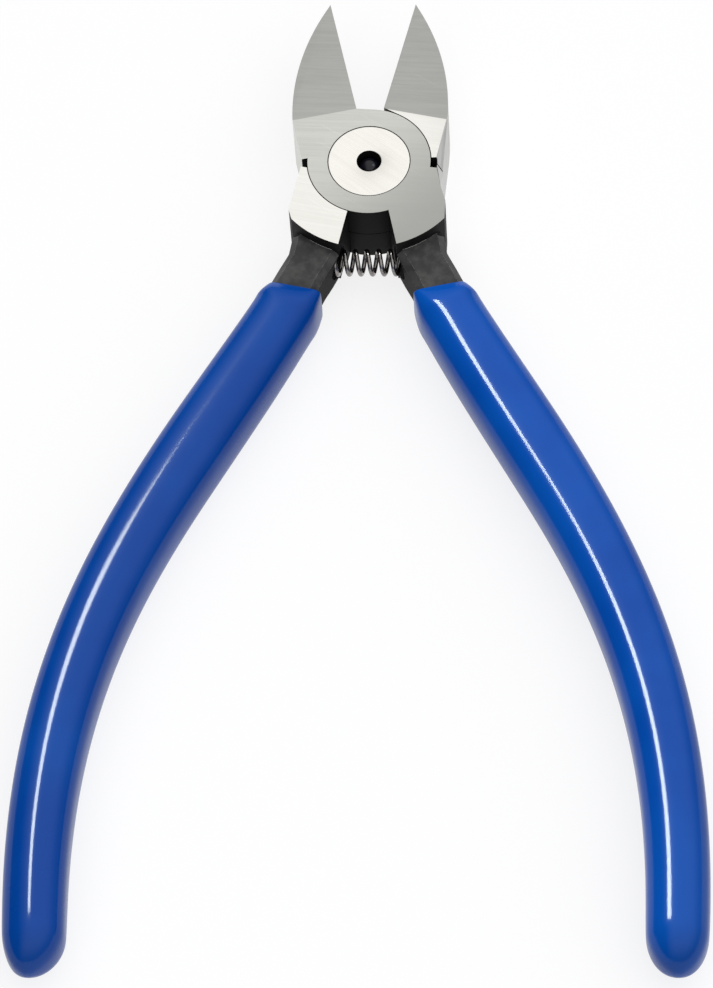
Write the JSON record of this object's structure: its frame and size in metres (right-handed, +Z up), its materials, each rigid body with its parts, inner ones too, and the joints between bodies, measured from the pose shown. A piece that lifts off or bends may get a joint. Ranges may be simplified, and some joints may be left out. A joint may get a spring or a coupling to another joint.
{
  "type": "flush cut pliers",
  "caption": "Spring-opened flush cutting pliers with lapped steel levers on a flush disc pivot and dipped blue vinyl grips, lying open with the flush side up.",
  "frame": {"origin": "on the pivot axis, at the back face of the head, which lies on the table", "axes": "+Y towards the blade tips, +X to the right seen from the flush side, +Z up out of the flush side along the pivot axis"},
  "size_m": [0.079, 0.1282, 0.0094],
  "materials": {
    "ground_steel": "fine-ground carbon steel on the head, black oxide on the tangs",
    "polished_steel": "bright fine-ground steel",
    "black_oxide": "black oxide steel, semi-gloss",
    "spring_steel": "oiled spring wire",
    "blue_vinyl": "glossy dipped vinyl, royal blue"
  },
  "bodies": {
    "front_lever": {"front_lever": "ground_steel", "right_grip": "blue_vinyl", "pivot_disc": "polished_steel", "pivot_back_disc": "polished_steel", "pivot_pin": "black_oxide", "return_spring": "spring_steel"},
    "rear_lever": {"rear_lever": "ground_steel", "left_grip": "blue_vinyl"}
  },
  "joints": [
    {"name": "jaw_pivot", "type": "hinge", "parent": "front_lever", "child": "rear_lever", "pos_m": [0, 0, 0.0047], "axis": [0, 0, 1], "range_deg": [0, 24], "stiffness_Nm_per_rad": 0.5, "springref_deg": -6.88, "deforming": ["return_spring"]}
  ]
}
